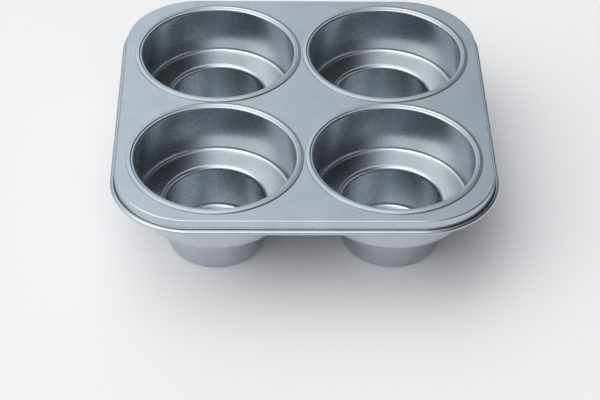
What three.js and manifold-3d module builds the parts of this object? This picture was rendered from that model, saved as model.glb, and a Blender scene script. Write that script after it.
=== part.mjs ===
// Cakelet pan: four deep two-tier cups crimped into a square plate with a wired rim.
// Millimetres, +Z up. The origin is under the middle of the pan, on the surface that the cups stand on.

import * as THREE from 'three';
import { mergeVertices } from 'three/addons/utils/BufferGeometryUtils.js';
import Module from 'manifold-3d';

// Sheet and seam
const PLATE_SHEET = 0.6;
const CUP_SHEET = 0.6;
const SEAM_CLEARANCE = 0.3; // left between the cup's bead and the plate inside it
const WIRE_CLEARANCE = 0.3; // left between the wire and the curl round it

// Cups: radii and depths of the inside face
const MOUTH_RADIUS = 54.0;
const UPPER_DRAFT = 0.8; // how much the upper tier narrows from mouth to ledge
const UPPER_DEPTH = 36.0; // from the plate's top face down to the ledge
const LOWER_RADIUS = 33.6; // at the ledge
const LOWER_DRAFT = 0.7; // how much the lower tier narrows from ledge to floor
const LOWER_DEPTH = 34.4; // from the ledge down to the floor
const FLOOR_FILLET = 3.0;
const LEDGE_EDGE_RADIUS = 3.5; // where the ledge turns down into the lower tier
const LEDGE_FILLET = 3.0; // where the upper tier meets the ledge

// Mouth of a cup, from the wall outwards
const MOUTH_BEND = 1.0; // inside radius of the bend from the wall to the landing
const LANDING_WIDTH = 2.1; // from the wall's face to the foot of the bead
const BEAD_STEP = 0.6; // height of the bead's crest above the landing
const BEAD_LEAN = 0.7; // from the foot of the bead out to its crest
const BEAD_FALL = 0.5; // how far the bead's top drops from its crest to its outside
const BEAD_FOOT_RADIUS = 0.3;
const BEAD_BEND = 0.1; // inside radius of the bead's two bends
const BEAD_OVERHANG = 1.9; // from the plate's collar to the bead's outside
const COLLAR_HEIGHT = 0.4; // the plate's collar, above the plate's top face
const COLLAR_BEND = 0.3; // where the plate turns up into its collar
const COLLAR_ROOT = 0.9; // flat ring at the collar's foot, which the plate runs into
const BEAD_SPACING = 1.0; // between two neighbouring beads

// Edge of the plate
const EDGE_MARGIN = 6.9; // from the outermost bead to the corner where the plate turns down
const EDGE_BEND = 0.3; // inside radius of the bend down into the skirt
const EDGE_ROOT = 1.0; // flat strip inside the bend, which the plate runs into
const SKIRT_DEPTH = 8.4; // from the plate's top face to where the curl begins
const SKIRT_FLARE = 0.45; // how far the skirt leans out over its depth
const CURL_RADIUS = 1.75; // outside of the rolled rim
const CURL_WRAP = 290; // degrees that the curl runs round the wire, outwards and up
const RIM_CORNER_RADIUS = 55.0; // plan radius of the rim's outside

// Facets
const CUP_SEGMENTS = 32;
const CORNER_SEGMENTS = 6;
const WIRE_SIDES = 8;
const ARC_STEP = 36; // degrees in one step of a section's arc
const FINE_RADIUS = 0.5; // an arc up to this radius takes one step
const SAME_POINT = 1e-4; // points closer than this are one point

// Worked out from the sizes above
const PLATE_TOP = CUP_SHEET + LOWER_DEPTH + UPPER_DEPTH;
const BEAD_FOOT = MOUTH_RADIUS + LANDING_WIDTH;
const BEAD_CREST = BEAD_FOOT + BEAD_LEAN;
const COLLAR_INSIDE = BEAD_FOOT + CUP_SHEET + SEAM_CLEARANCE;
const COLLAR_OUTSIDE = COLLAR_INSIDE + PLATE_SHEET;
const BEAD_OUTSIDE = COLLAR_OUTSIDE + BEAD_OVERHANG;
const beadSlope = BEAD_FALL / (BEAD_OUTSIDE - BEAD_CREST);
const beadCover = CUP_SHEET * Math.hypot(1, beadSlope) + beadSlope * (COLLAR_OUTSIDE - BEAD_CREST);
const BEAD_TOP = PLATE_TOP + COLLAR_HEIGHT + SEAM_CLEARANCE + beadCover;
const LANDING = BEAD_TOP - BEAD_STEP;
const WELL_PITCH = 2 * BEAD_OUTSIDE + BEAD_SPACING;
const EDGE_CORNER = WELL_PITCH / 2 + BEAD_OUTSIDE + EDGE_MARGIN;

// Middle of each well, by the name of its cup
const half = WELL_PITCH / 2;
const WELLS = {
  cup_front_left: new THREE.Vector2(-half, -half),
  cup_front_right: new THREE.Vector2(half, -half),
  cup_back_left: new THREE.Vector2(-half, half),
  cup_back_right: new THREE.Vector2(half, half),
};

// Rim: the bend, and where the skirt ends and the curl lies, worked out from the plate's edge
const bendOutside = EDGE_BEND + PLATE_SHEET;
const skirtLean = Math.atan2(SKIRT_FLARE, SKIRT_DEPTH);
const skirtEnd = new THREE.Vector2(EDGE_CORNER + SKIRT_FLARE, PLATE_TOP - SKIRT_DEPTH);
const squareToSkirt = new THREE.Vector2(Math.cos(skirtLean), Math.sin(skirtLean));
const curlInside = CURL_RADIUS - PLATE_SHEET;
const curlCentre = skirtEnd.clone().addScaledVector(squareToSkirt, curlInside);
const rimHalfWidth = curlCentre.x + CURL_RADIUS;
const cornerCentre = rimHalfWidth - RIM_CORNER_RADIUS;

const wasm = await Module();
wasm.setup();

const corner = (x, y, radius = 0) => ({ x, y, radius });

// A line through corner points, with each corner between its ends rounded by that corner's radius.
function roundedLine(corners) {
  const path = new THREE.Path();
  path.moveTo(corners[0].x, corners[0].y);
  for (let i = 1; i < corners.length - 1; i++) {
    const here = new THREE.Vector2(corners[i].x, corners[i].y);
    const into = here.clone().sub(corners[i - 1]).normalize();
    const away = new THREE.Vector2(corners[i + 1].x, corners[i + 1].y).sub(here).normalize();
    const turn = Math.atan2(into.cross(away), into.dot(away));
    const radius = corners[i].radius;
    const start = here.clone().addScaledVector(into, -radius * Math.tan(Math.abs(turn) / 2));
    const left = new THREE.Vector2(-into.y, into.x);
    const centre = start.clone().addScaledVector(left, radius * Math.sign(turn));
    const angle = Math.atan2(start.y - centre.y, start.x - centre.x);
    path.lineTo(start.x, start.y);
    path.absarc(centre.x, centre.y, radius, angle, angle + turn, turn < 0);
  }
  const end = corners.at(-1);
  path.lineTo(end.x, end.y);
  return path;
}

// Steps that an arc of the section is drawn in; a straight stretch takes one.
function stepsAlong(curve) {
  if (!curve.isEllipseCurve || curve.xRadius <= FINE_RADIUS) {
    return 1;
  }
  const sweep = THREE.MathUtils.radToDeg(curve.getLength() / curve.xRadius);
  return Math.max(1, Math.round(sweep / ARC_STEP));
}

// The closed section of a bent sheet: the face along the path, then back along the face on the path's left.
function sheetSection(path, thickness) {
  const face = [];
  const back = [];
  for (const curve of path.curves) {
    const steps = stepsAlong(curve);
    for (let i = 0; i <= steps; i++) {
      const point = curve.getPoint(i / steps);
      if (face.length && point.distanceTo(face.at(-1)) < SAME_POINT) {
        continue;
      }
      const tangent = curve.getTangent(i / steps);
      face.push(point);
      back.unshift(new THREE.Vector2(point.x - tangent.y * thickness, point.y + tangent.x * thickness));
    }
  }
  return [...face, ...back];
}

// Section points in the order that makes a lathed face point out of the solid.
function outwards(points) {
  return THREE.ShapeUtils.area(points) > 0 ? points : [...points].reverse();
}

// A solid turned about the Z axis from a section that meets the axis, or that closes on itself.
function turned(section, segments) {
  const points = outwards(section);
  const meetsAxis = points.some((point) => point.x === 0);
  const profile = meetsAxis ? points : [...points, points[0]];
  return new THREE.LatheGeometry(profile, segments).rotateX(Math.PI / 2);
}

// Stops on the way round a square with round corners: each corner's centre and the direction out of it.
function squareStops() {
  const stops = [];
  for (const quarter of [0, 1, 2, 3]) {
    const middle = (quarter + 0.5) * (Math.PI / 2);
    const signs = new THREE.Vector2(Math.sign(Math.cos(middle)), Math.sign(Math.sin(middle)));
    const centre = signs.multiplyScalar(cornerCentre);
    for (let step = 0; step <= CORNER_SEGMENTS; step++) {
      const angle = (quarter + step / CORNER_SEGMENTS) * (Math.PI / 2);
      stops.push({ centre, out: new THREE.Vector2(Math.cos(angle), Math.sin(angle)) });
    }
  }
  return stops;
}

// A ring swept round the square: a turned ring whose quarters are moved out to the corners.
function sweptSquare(section) {
  const points = outwards(section);
  points.push(points[0]);
  const stops = squareStops();
  stops.push(stops[0]);
  const geometry = new THREE.LatheGeometry(points, stops.length - 1);
  const position = geometry.attributes.position;
  stops.forEach(({ centre, out }, column) => {
    points.forEach((point, row) => {
      const place = centre.clone().addScaledVector(out, point.x - cornerCentre);
      position.setXYZ(column * points.length + row, place.x, place.y, point.y);
    });
  });
  geometry.computeVertexNormals();
  return geometry;
}

// Outline of the square at one distance from the middle to its sides.
function squareOutline(halfWidth) {
  const radius = halfWidth - cornerCentre;
  return squareStops().map(({ centre, out }) => centre.clone().addScaledVector(out, radius));
}

function circleOutline(centre, radius) {
  const outline = [];
  for (let i = 0; i < CUP_SEGMENTS; i++) {
    const angle = (i / CUP_SEGMENTS) * 2 * Math.PI;
    const out = new THREE.Vector2(Math.cos(angle), Math.sin(angle));
    outline.push(centre.clone().addScaledVector(out, radius));
  }
  return outline;
}

// A closed geometry as a solid that can be joined to another, and back again
function solid(geometry) {
  const bare = geometry.clone();
  bare.deleteAttribute('normal');
  bare.deleteAttribute('uv');
  const merged = mergeVertices(bare, SAME_POINT);
  const vertProperties = new Float32Array(merged.attributes.position.array);
  const triVerts = new Uint32Array(merged.index.array);
  return new wasm.Manifold(new wasm.Mesh({ numProp: 3, vertProperties, triVerts }));
}

function geometryOf(manifold) {
  const mesh = manifold.getMesh();
  const geometry = new THREE.BufferGeometry();
  geometry.setAttribute('position', new THREE.Float32BufferAttribute(mesh.vertProperties, mesh.numProp));
  geometry.setIndex(new THREE.Uint32BufferAttribute(mesh.triVerts, 1));
  geometry.computeVertexNormals();
  return geometry;
}

// Plate's edge: flat strip, bend, skirt and the curl that wraps the wire
function edgeGeometry() {
  const path = roundedLine([
    corner(EDGE_CORNER - bendOutside - EDGE_ROOT, PLATE_TOP),
    corner(EDGE_CORNER, PLATE_TOP, bendOutside),
    corner(skirtEnd.x, skirtEnd.y),
  ]);
  const startAngle = Math.PI + skirtLean;
  const endAngle = startAngle + THREE.MathUtils.degToRad(CURL_WRAP);
  path.absarc(curlCentre.x, curlCentre.y, curlInside, startAngle, endAngle, false);
  return sweptSquare(sheetSection(path, -PLATE_SHEET));
}

// Flat of the plate, with a hole for each cup that stops inside the collar's root
function flatGeometry() {
  const shape = new THREE.Shape(squareOutline(EDGE_CORNER - bendOutside - EDGE_ROOT / 2));
  const holeRadius = COLLAR_OUTSIDE + COLLAR_ROOT / 2;
  for (const centre of Object.values(WELLS)) {
    shape.holes.push(new THREE.Path(circleOutline(centre, holeRadius)));
  }
  const flat = new THREE.ExtrudeGeometry(shape, { depth: PLATE_SHEET, bevelEnabled: false });
  return flat.translate(0, 0, PLATE_TOP - PLATE_SHEET);
}

// Upturned collar round one hole of the plate
function collarGeometry() {
  const path = roundedLine([
    corner(COLLAR_OUTSIDE + COLLAR_ROOT, PLATE_TOP),
    corner(COLLAR_OUTSIDE, PLATE_TOP, COLLAR_BEND),
    corner(COLLAR_OUTSIDE, PLATE_TOP + COLLAR_HEIGHT),
  ]);
  return turned(sheetSection(path, PLATE_SHEET), CUP_SEGMENTS);
}

function plateGeometry() {
  let plate = solid(flatGeometry()).add(solid(edgeGeometry()));
  for (const centre of Object.values(WELLS)) {
    plate = plate.add(solid(collarGeometry().translate(centre.x, centre.y, 0)));
  }
  return geometryOf(plate);
}

// Ring of wire inside the curl
function wireGeometry() {
  const radius = curlInside - WIRE_CLEARANCE;
  const section = [];
  for (let i = 0; i < WIRE_SIDES; i++) {
    const angle = ((i + 0.5) / WIRE_SIDES) * 2 * Math.PI;
    const out = new THREE.Vector2(Math.cos(angle), Math.sin(angle));
    section.push(curlCentre.clone().addScaledVector(out, radius));
  }
  return sweptSquare(section);
}

// One cup, drawn along its inside face from the middle of the floor to the lip of its bead
function cupGeometry() {
  const floor = CUP_SHEET;
  const ledge = floor + LOWER_DEPTH;
  const path = roundedLine([
    corner(0, floor),
    corner(LOWER_RADIUS - LOWER_DRAFT, floor, FLOOR_FILLET),
    corner(LOWER_RADIUS, ledge, LEDGE_EDGE_RADIUS),
    corner(MOUTH_RADIUS - UPPER_DRAFT, ledge, LEDGE_FILLET),
    corner(MOUTH_RADIUS, LANDING, MOUTH_BEND + CUP_SHEET),
    corner(BEAD_FOOT, LANDING, BEAD_FOOT_RADIUS),
    corner(BEAD_CREST, BEAD_TOP, BEAD_BEND + CUP_SHEET),
    corner(BEAD_OUTSIDE, BEAD_TOP - BEAD_FALL, BEAD_BEND + CUP_SHEET),
    corner(BEAD_OUTSIDE, PLATE_TOP + SEAM_CLEARANCE),
  ]);
  return turned(sheetSection(path, -CUP_SHEET), CUP_SEGMENTS);
}

const coatedSheet = { color: '#b2bcc6', roughness: 0.38, metalness: 0.9 };
const bareWire = { color: '#9a9fa4', roughness: 0.45, metalness: 1.0 };

function piece(name, geometry, finish) {
  const mesh = new THREE.Mesh(geometry, new THREE.MeshStandardMaterial(finish));
  mesh.name = name;
  return mesh;
}

const pan = new THREE.Group();
pan.add(piece('top_plate', plateGeometry(), coatedSheet));
pan.add(piece('rim_wire', wireGeometry(), bareWire));
for (const [name, centre] of Object.entries(WELLS)) {
  const cup = piece(name, cupGeometry(), coatedSheet);
  cup.position.set(centre.x, centre.y, 0);
  pan.add(cup);
}

export default pan;
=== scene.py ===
# Looks of a cakelet pan: fine sheet-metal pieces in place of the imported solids, with floor, light and camera.
# Lengths are in millimetres until a mesh, a place or the camera is made; the frame is in metres.

import math

import bpy
import numpy as np
from mathutils import Matrix, Vector
from mathutils.geometry import tessellate_polygon


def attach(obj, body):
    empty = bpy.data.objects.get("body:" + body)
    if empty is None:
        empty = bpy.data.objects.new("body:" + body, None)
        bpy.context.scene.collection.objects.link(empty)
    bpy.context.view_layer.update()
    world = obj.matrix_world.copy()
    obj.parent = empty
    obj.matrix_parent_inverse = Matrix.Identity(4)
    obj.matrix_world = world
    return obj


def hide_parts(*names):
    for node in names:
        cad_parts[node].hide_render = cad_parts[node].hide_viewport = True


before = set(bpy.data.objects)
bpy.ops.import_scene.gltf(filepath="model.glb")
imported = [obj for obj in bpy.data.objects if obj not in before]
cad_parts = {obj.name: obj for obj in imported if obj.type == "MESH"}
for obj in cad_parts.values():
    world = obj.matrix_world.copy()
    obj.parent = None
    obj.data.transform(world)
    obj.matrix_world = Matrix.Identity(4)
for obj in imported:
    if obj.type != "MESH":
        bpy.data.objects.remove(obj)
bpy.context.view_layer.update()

MM = 0.001

# Sheet and seam
PLATE_SHEET = 0.6
CUP_SHEET = 0.6
SEAM_CLEARANCE = 0.3  # from the foot of the bead out to the collar
BEAD_CLEARANCE = 0.1  # from the collar up to the bead over it
LIP_CLEARANCE = 0.05  # from the end of the bead down to the plate
WIRE_CLEARANCE = 0.3  # from the wire out to the curl

# Cups: radii and depths of the inside face
MOUTH_RADIUS = 54.0
UPPER_DRAFT = 0.8
UPPER_DEPTH = 36.0
LOWER_RADIUS = 33.6
LOWER_DRAFT = 0.7
LOWER_DEPTH = 34.4
FLOOR_FILLET = 3.0
LEDGE_EDGE_RADIUS = 3.5
LEDGE_FILLET = 3.0

# Mouth of a cup, from the wall outwards
MOUTH_BEND = 1.6
LANDING_WIDTH = 2.1
BEAD_STEP = 0.6
BEAD_LEAN = 0.7
BEAD_FALL = 0.5
BEAD_FOOT_RADIUS = 0.3
BEAD_CREST_BEND = 1.0
BEAD_EDGE_BEND = 0.35
BEAD_OVERHANG = 1.9
COLLAR_HEIGHT = 0.32
COLLAR_BEND = 0.3
COLLAR_ROOT = 0.9
BEAD_SPACING = 1.0

# Edge of the plate
EDGE_MARGIN = 6.9
EDGE_BEND = 0.9
EDGE_ROOT = 1.0
SKIRT_DEPTH = 8.4
SKIRT_FLARE = 0.45
CURL_RADIUS = 1.70
CURL_WRAP = math.radians(290)
CORNER_CENTRE = 74.748  # from the middle of the pan to the centre of its round corners

# Fineness
CUP_COLUMNS = 160
CORNER_STEPS = 28
ARC_STEP = math.radians(9)
ARC_LEAST_STEPS = 3

# Worked out from the sizes above
PLATE_TOP = CUP_SHEET + LOWER_DEPTH + UPPER_DEPTH
BEAD_FOOT = MOUTH_RADIUS + LANDING_WIDTH
BEAD_CREST = BEAD_FOOT + BEAD_LEAN
COLLAR_OUTSIDE = BEAD_FOOT + CUP_SHEET + SEAM_CLEARANCE + PLATE_SHEET
BEAD_OUTSIDE = COLLAR_OUTSIDE + BEAD_OVERHANG
BEAD_SLOPE = BEAD_FALL / (BEAD_OUTSIDE - BEAD_CREST)
BEAD_COVER = CUP_SHEET * math.hypot(1, BEAD_SLOPE) + BEAD_SLOPE * (COLLAR_OUTSIDE - BEAD_CREST)
BEAD_TOP = PLATE_TOP + COLLAR_HEIGHT + BEAD_CLEARANCE + BEAD_COVER
LANDING = BEAD_TOP - BEAD_STEP
WELL_PITCH = 2 * BEAD_OUTSIDE + BEAD_SPACING
EDGE_CORNER = WELL_PITCH / 2 + BEAD_OUTSIDE + EDGE_MARGIN

# Middle of each well in pitches, and the turn of its cup about its own axis in degrees
CUPS = {
    "cup_front_left": (-0.5, -0.5, 0),
    "cup_front_right": (0.5, -0.5, 90),
    "cup_back_left": (-0.5, 0.5, 180),
    "cup_back_right": (0.5, 0.5, 270),
}

# Looks: a noise has its scale, detail and roughness, and a bump its strength and its height in metres
COAT_DARK = (0.455, 0.492, 0.529)
COAT_LIGHT = (0.575, 0.620, 0.663)
COAT_ROUGHNESS = (0.24, 0.26)
COAT_MOTTLE = (45.0, 4.0, 0.55)
COAT_GRAIN = (2600.0, 1.0, 0.5)
GRAIN_TONE = 0.25
GRAIN_ROUGHNESS = 0.06
GRAIN_BUMP = (0.10, 0.00004)
DRAWN_MARKS = (26.0, 3.0, 0.6)
MARKS_STRETCH = 3.0
MARKS_ROUGHNESS = 0.008
MARKS_BUMP = (0.012, 0.0002)
WIRE_DARK = (0.26, 0.27, 0.29)
WIRE_LIGHT = (0.42, 0.43, 0.45)
WIRE_ROUGHNESS = (0.35, 0.55)
WIRE_GRAIN = (900.0, 3.0, 0.6)
WIRE_BUMP = (0.2, 0.0001)
FLOOR_DARK = (0.900, 0.920, 0.945)
FLOOR_LIGHT = (0.935, 0.955, 0.980)
FLOOR_ROUGHNESS = (0.46, 0.54)
FLOOR_CLOUD = (3.0, 3.0, 0.5)
FLOOR_HALF = 12000.0


# Sections of bent sheet: rows of x, z and the direction out of the face, which lies left of the way along it


def unit(vector):
    return vector / np.linalg.norm(vector)


def ways_round(angles):
    return np.stack([np.cos(angles), np.sin(angles)], axis=1)


def arc(centre, radius, start, sweep):
    steps = max(ARC_LEAST_STEPS, math.ceil(abs(sweep) / ARC_STEP))
    angles = start + sweep * np.arange(steps + 1) / steps
    out = ways_round(angles)
    return np.hstack([centre + radius * out, out * -math.copysign(1, sweep)])


def rounded_line(corners):
    """A face through corners (x, z, radius), with each corner between its ends rounded."""
    points = [np.array(corner[:2], float) for corner in corners]
    ways = [unit(after - before) for before, after in zip(points, points[1:])]
    rows = [[*points[0], -ways[0][1], ways[0][0]]]
    for point, into, away, corner in zip(points[1:], ways, ways[1:], corners[1:]):
        turn = math.atan2(into[0] * away[1] - into[1] * away[0], into @ away)
        start = point - into * corner[2] * math.tan(abs(turn) / 2)
        centre = start + np.array([-into[1], into[0]]) * math.copysign(corner[2], turn)
        rows.extend(arc(centre, corner[2], math.atan2(*(start - centre)[::-1]), turn))
    rows.append([*points[-1], -ways[-1][1], ways[-1][0]])
    return np.array(rows)


def sheet(face, thickness):
    """A whole section: the face, the round end of the sheet, and the other face on the way back."""
    back = np.hstack([face[:, :2] - thickness * face[:, 2:], -face[:, 2:]])
    middle = (face[-1, :2] + back[-1, :2]) / 2
    end = arc(middle, thickness / 2, math.atan2(face[-1, 3], face[-1, 2]), -math.pi)
    return np.vstack([face, end[1:-1], back[::-1]])


# Sections swept round: points and directions, with a row for each point of the section


def swept(section, centres, ways, reach=0.0):
    """A section placed along each of the ways out of the centres, which lie at reach in the section."""
    points = np.empty((len(section), len(ways), 3))
    points[..., :2] = centres + (section[:, None, :1] - reach) * ways
    points[..., 2] = section[:, 1:2]
    normals = np.empty_like(points)
    normals[..., :2] = section[:, None, 2:3] * ways
    normals[..., 2] = section[:, 3:4]
    return points, normals


def turned(section, centre=(0.0, 0.0)):
    angles = np.arange(CUP_COLUMNS) * 2 * math.pi / CUP_COLUMNS
    return swept(section, np.array(centre), ways_round(angles))


def round_the_edge(section):
    quarters = np.repeat(np.arange(4), CORNER_STEPS + 1)
    steps = np.tile(np.arange(CORNER_STEPS + 1) / CORNER_STEPS, 4)
    centres = CORNER_CENTRE * np.sign(ways_round((quarters + 0.5) * math.pi / 2))
    return swept(section, centres, ways_round((quarters + steps) * math.pi / 2), CORNER_CENTRE)


class Skin:
    """The surface of one piece: its points, the direction out of it at each point, and its faces."""

    def __init__(self):
        self.points = np.empty((0, 3))
        self.normals = np.empty((0, 3))
        self.faces = []

    def add(self, points, normals):
        first = len(self.points)
        self.points = np.vstack([self.points, points.reshape(-1, 3)])
        self.normals = np.vstack([self.normals, normals.reshape(-1, 3)])
        return np.arange(first, len(self.points)).reshape(points.shape[:-1])

    def band(self, points, normals, closed=False):
        """Rings of points with faces from each ring to the next; closed also joins the last to the first."""
        rows = self.add(points, normals)
        ahead = np.roll(rows, -1, axis=0)
        for row, following in list(zip(rows, ahead))[: None if closed else -1]:
            quads = np.stack([row, following, np.roll(following, -1), np.roll(row, -1)], axis=1)
            self.faces += quads.tolist()
        return rows

    def fill(self, rows):
        """Flat faces between the first row and the rows inside it."""
        index = np.concatenate(rows)
        loops = [[Vector(point) for point in self.points[row]] for row in rows]
        facing = self.normals[index[0], 2]
        for triangle in tessellate_polygon(loops):
            face = [int(index[i]) for i in triangle]
            (ax, ay, _), (bx, by, _), (cx, cy, _) = self.points[face]
            turn = (bx - ax) * (cy - ay) - (by - ay) * (cx - ax)
            self.faces.append(face if turn * facing > 0 else face[::-1])

    def piece(self, name, node, material):
        mesh = bpy.data.meshes.new(name)
        mesh.from_pydata((self.points * MM).tolist(), [], self.faces)
        mesh.shade_smooth()
        mesh.normals_split_custom_set_from_vertices(self.normals.tolist())
        mesh.materials.append(material)
        obj = bpy.data.objects.new(name, mesh)
        bpy.context.scene.collection.objects.link(obj)
        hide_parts(node)
        return obj


# Materials


class Nodes:
    """The nodes of a material or the world, with short ways to add the few kinds used here."""

    def __init__(self, owner, shader):
        owner.use_nodes = True
        self.tree = owner.node_tree
        self.shader = self.tree.nodes[shader]

    def add(self, kind, inputs=(), **settings):
        made = self.tree.nodes.new(kind)
        for key, value in settings.items():
            setattr(made, key, value)
        for key, value in dict(inputs).items():
            self.put(made.inputs[key], value)
        return made

    def put(self, socket, value):
        if isinstance(value, bpy.types.NodeSocket):
            self.tree.links.new(value, socket)
        else:
            socket.default_value = value

    def into(self, **sockets):
        for key, value in sockets.items():
            self.put(self.shader.inputs[key.replace("_", " ")], value)

    def place(self):
        return self.add("ShaderNodeTexCoord").outputs["Object"]

    def noise(self, vector, scale, detail, roughness):
        inputs = {"Vector": vector, "Scale": scale, "Detail": detail, "Roughness": roughness}
        return self.add("ShaderNodeTexNoise", inputs).outputs["Fac"]

    def number(self, operation, *values, **settings):
        return self.add("ShaderNodeMath", enumerate(values), operation=operation, **settings).outputs[0]

    def vector(self, operation, output, *values):
        return self.add("ShaderNodeVectorMath", enumerate(values), operation=operation).outputs[output]

    def spread(self, value, low, high):
        """Takes the middle half of a noise's range to low..high."""
        inputs = {"Value": value, "From Min": 0.25, "From Max": 0.75, "To Min": low, "To Max": high}
        return self.add("ShaderNodeMapRange", inputs, clamp=False).outputs[0]

    def ramp(self, value, low, high):
        made = self.add("ShaderNodeValToRGB", {"Fac": value})
        for element, colour in zip(made.color_ramp.elements, (low, high)):
            element.color = (*colour, 1.0)
        return made.outputs["Color"]

    def round_axis(self, place, stretch):
        """Coordinates that run round the Z axis and are drawn out along it, for marks along a drawn wall."""
        parts = self.add("ShaderNodeSeparateXYZ", {0: place})
        angle = self.number("ARCTAN2", parts.outputs["Y"], parts.outputs["X"])
        sine = self.number("SINE", angle)
        cosine = self.number("COSINE", angle)
        height = self.number("MULTIPLY", parts.outputs["Z"], stretch)
        return self.add("ShaderNodeCombineXYZ", {"X": cosine, "Y": sine, "Z": height}).outputs[0]

    def bump(self, height, strength, distance, normal=None):
        inputs = {"Height": height, "Strength": strength, "Distance": distance}
        if normal is not None:
            inputs["Normal"] = normal
        return self.add("ShaderNodeBump", inputs).outputs["Normal"]


def coated_steel(name, drawn):
    """Satin silver coating with a fine metallic grain; drawn adds the faint upright marks of a drawn wall."""
    material = bpy.data.materials.new(name)
    nodes = Nodes(material, "Principled BSDF")
    place = nodes.place()
    grain = nodes.noise(place, *COAT_GRAIN)
    mottle = nodes.noise(place, *COAT_MOTTLE)
    tone = nodes.number("ADD", nodes.spread(grain, -GRAIN_TONE, GRAIN_TONE), mottle)
    roughness = nodes.spread(mottle, *COAT_ROUGHNESS)
    roughness = nodes.number("ADD", roughness, nodes.spread(grain, -GRAIN_ROUGHNESS, GRAIN_ROUGHNESS))
    normal = nodes.bump(grain, *GRAIN_BUMP)
    if drawn:
        marks = nodes.noise(nodes.round_axis(place, MARKS_STRETCH), *DRAWN_MARKS)
        roughness = nodes.number("ADD", roughness, nodes.spread(marks, -MARKS_ROUGHNESS, MARKS_ROUGHNESS))
        normal = nodes.bump(marks, *MARKS_BUMP, normal)
    nodes.into(Base_Color=nodes.ramp(tone, COAT_DARK, COAT_LIGHT), Metallic=1.0)
    nodes.into(Roughness=roughness, Normal=normal)
    return material


def drawn_wire(name):
    """Bare wire with a fine uneven grey."""
    material = bpy.data.materials.new(name)
    nodes = Nodes(material, "Principled BSDF")
    grain = nodes.noise(nodes.place(), *WIRE_GRAIN)
    nodes.into(Base_Color=nodes.ramp(grain, WIRE_DARK, WIRE_LIGHT), Metallic=1.0)
    nodes.into(Roughness=nodes.spread(grain, *WIRE_ROUGHNESS), Normal=nodes.bump(grain, *WIRE_BUMP))
    return material


def pale_floor(name):
    """Plain matt ground with hardly seen clouds."""
    material = bpy.data.materials.new(name)
    nodes = Nodes(material, "Principled BSDF")
    cloud = nodes.noise(nodes.place(), *FLOOR_CLOUD)
    nodes.into(Base_Color=nodes.ramp(cloud, FLOOR_DARK, FLOOR_LIGHT))
    nodes.into(Roughness=nodes.spread(cloud, *FLOOR_ROUGHNESS))
    return material


plate_coat = coated_steel("coated_steel_plate", drawn=False)
cup_coat = coated_steel("coated_steel_cup", drawn=True)
wire_steel = drawn_wire("steel_wire")

# Plate: flat with four collared holes, bend, skirt and the curl that wraps the wire

skirt_lean = math.atan2(SKIRT_FLARE, SKIRT_DEPTH)
skirt_end = np.array([EDGE_CORNER + SKIRT_FLARE, PLATE_TOP - SKIRT_DEPTH])
curl_inside = CURL_RADIUS - PLATE_SHEET
curl_centre = skirt_end + curl_inside * np.array([math.cos(skirt_lean), math.sin(skirt_lean)])

edge_face = rounded_line([
    (EDGE_CORNER - EDGE_BEND - EDGE_ROOT, PLATE_TOP, 0),
    (EDGE_CORNER, PLATE_TOP, EDGE_BEND),
    (*skirt_end, 0),
])
curl_face = arc(curl_centre, curl_inside, math.pi + skirt_lean, CURL_WRAP)
edge = sheet(np.vstack([edge_face[:-1], curl_face]), PLATE_SHEET)
# The collar turns up towards its axis, so it is drawn mirrored, where its face is on the left too
collar_face = rounded_line([
    (-COLLAR_OUTSIDE - COLLAR_ROOT, PLATE_TOP, 0),
    (-COLLAR_OUTSIDE, PLATE_TOP, COLLAR_BEND),
    (-COLLAR_OUTSIDE, PLATE_TOP + COLLAR_HEIGHT, 0),
])
collar = (sheet(collar_face, PLATE_SHEET) * (-1, 1, -1, 1))[::-1]

plate = Skin()
edge_rows = plate.band(*round_the_edge(edge))
hole_rows = []
for across, along, _ in CUPS.values():
    centre = (across * WELL_PITCH, along * WELL_PITCH)
    hole_rows.append(plate.band(*turned(collar, centre)))
plate.fill([edge_rows[0], *[rows[-1] for rows in hole_rows]])
plate.fill([edge_rows[-1], *[rows[0] for rows in hole_rows]])
plate_piece = plate.piece("plate_sheet", "top_plate", plate_coat)
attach(plate_piece, "root")

# Ring of wire inside the curl

wire_radius = curl_inside - WIRE_CLEARANCE
wire = Skin()
wire.band(*round_the_edge(arc(curl_centre, wire_radius, 0.0, -2 * math.pi)[:-1]), closed=True)
wire_piece = wire.piece("rim_wire_ring", "rim_wire", wire_steel)
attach(wire_piece, "root")

# Cups, drawn along the inside face from the middle of the floor to the lip of the bead

ledge = CUP_SHEET + LOWER_DEPTH
cup_face = rounded_line([
    (0.0, CUP_SHEET, 0),
    (LOWER_RADIUS - LOWER_DRAFT, CUP_SHEET, FLOOR_FILLET),
    (LOWER_RADIUS, ledge, LEDGE_EDGE_RADIUS),
    (MOUTH_RADIUS - UPPER_DRAFT, ledge, LEDGE_FILLET),
    (MOUTH_RADIUS, LANDING, MOUTH_BEND),
    (BEAD_FOOT, LANDING, BEAD_FOOT_RADIUS),
    (BEAD_CREST, BEAD_TOP, BEAD_CREST_BEND),
    (BEAD_OUTSIDE, BEAD_TOP - BEAD_FALL, BEAD_EDGE_BEND),
    (BEAD_OUTSIDE, PLATE_TOP + LIP_CLEARANCE + CUP_SHEET / 2, 0),
])
cup_section = sheet(cup_face, CUP_SHEET)
for name, (across, along, turn) in CUPS.items():
    cup = Skin()
    rows = cup.band(*turned(cup_section[1:-1]))
    for row, end in ((rows[0], cup_section[0]), (rows[-1], cup_section[-1])):
        middle = int(cup.add(np.array([0.0, 0.0, end[1]]), np.array([0.0, 0.0, end[3]])))
        ring = row if end[3] > 0 else row[::-1]
        cup.faces += [[middle, int(a), int(b)] for a, b in zip(ring, np.roll(ring, -1))]
    cup_piece = cup.piece(name + "_shell", name, cup_coat)
    cup_piece.location = (across * WELL_PITCH * MM, along * WELL_PITCH * MM, 0.0)
    cup_piece.rotation_euler.z = math.radians(turn)
    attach(cup_piece, "root")

# Floor

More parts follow.
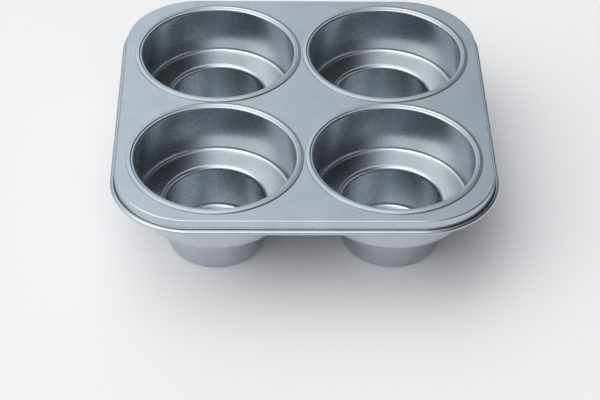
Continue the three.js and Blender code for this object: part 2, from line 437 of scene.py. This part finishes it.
floor_corners = FLOOR_HALF * MM * np.array([(-1, -1, 0), (1, -1, 0), (1, 1, 0), (-1, 1, 0)])
floor_mesh = bpy.data.meshes.new("floor")
floor_mesh.from_pydata(floor_corners.tolist(), [], [(0, 1, 2, 3)])
floor_mesh.materials.append(pale_floor("pale_floor"))
floor = bpy.data.objects.new("floor", floor_mesh)
bpy.context.scene.collection.objects.link(floor)

# Light: a sky of soft round lights over a dim shade, with a pale haze along the horizon. A light has the
# direction to its middle in degrees (azimuth from the back round by the left, and elevation), how tight it
# is, its level, where 1 is that of a white card, and its tint

SHADE = (0.008, 0.009, 0.010)
HAZE = (0.33, 0.34, 0.36)
HAZE_FADE = 3.5
SOFT_LIGHTS = {
    "window": (92, 39, 12, 1.38, (1.06, 1.00, 0.95)),
    "window_front": (136, 58, 20, 1.85, (1.05, 1.00, 0.96)),
    "front": (178, 44, 28, 1.50, (1.02, 1.00, 0.99)),
    "low_left": (116, 8, 26, 1.10, (0.98, 1.00, 1.03)),
    "back": (15, 36, 22, 0.98, (0.93, 1.00, 1.06)),
    "ceiling": (0, 75, 28, 1.20, (0.98, 1.00, 1.02)),
}

world = bpy.data.worlds.new("soft_sky")
sky = Nodes(world, "Background")
outwards = sky.add("ShaderNodeTexCoord").outputs["Generated"]
height = sky.add("ShaderNodeSeparateXYZ", {0: outwards}).outputs["Z"]
lowness = sky.number("SUBTRACT", 1.0, height, use_clamp=True)
glow = sky.vector("MULTIPLY_ADD", "Vector", sky.number("POWER", lowness, HAZE_FADE), HAZE, SHADE)
for azimuth, elevation, tightness, level, tint in SOFT_LIGHTS.values():
    bearing = math.radians(azimuth)
    rise = math.radians(elevation)
    middle = (-math.sin(bearing) * math.cos(rise), math.cos(bearing) * math.cos(rise), math.sin(rise))
    nearness = sky.number("MULTIPLY_ADD", sky.vector("DOT_PRODUCT", "Value", outwards, middle), 0.5, 0.5)
    fade = sky.number("POWER", nearness, tightness)
    glow = sky.vector("MULTIPLY_ADD", "Vector", fade, tuple(level * part for part in tint), glow)
sky.into(Color=glow, Strength=1.0)
bpy.context.scene.world = world

# Camera at the photograph's viewpoint, found from the plate's edges, the wells' rims and the rim's outline

VIEW_AZIMUTH = math.radians(-1.688)
VIEW_ELEVATION = math.radians(40.015)
VIEW_ROLL = math.radians(1.172)
VIEW_DISTANCE = 1179.05
VIEW_TARGET = Vector((-3.93, -105.18, PLATE_TOP))
FOCAL_LENGTH = 108.79
SENSOR_WIDTH = 36.0

backwards = Vector((
    math.sin(VIEW_AZIMUTH) * math.cos(VIEW_ELEVATION),
    -math.cos(VIEW_AZIMUTH) * math.cos(VIEW_ELEVATION),
    math.sin(VIEW_ELEVATION),
))
sideways = Vector((math.cos(VIEW_AZIMUTH), math.sin(VIEW_AZIMUTH), 0.0))
upright = backwards.cross(sideways)
right = sideways * math.cos(VIEW_ROLL) + upright * math.sin(VIEW_ROLL)
up = upright * math.cos(VIEW_ROLL) - sideways * math.sin(VIEW_ROLL)
standpoint = Matrix.Translation((VIEW_TARGET + backwards * VIEW_DISTANCE) * MM)

lens = bpy.data.cameras.new("camera")
lens.sensor_width = SENSOR_WIDTH
lens.lens = FOCAL_LENGTH
camera = bpy.data.objects.new("camera", lens)
camera.matrix_world = standpoint @ Matrix((right, up, backwards)).transposed().to_4x4()
bpy.context.scene.collection.objects.link(camera)
bpy.context.scene.camera = camera
bpy.context.scene.view_settings.view_transform = "Standard"

# Bring the scene's placements up to date
bpy.context.view_layer.update()
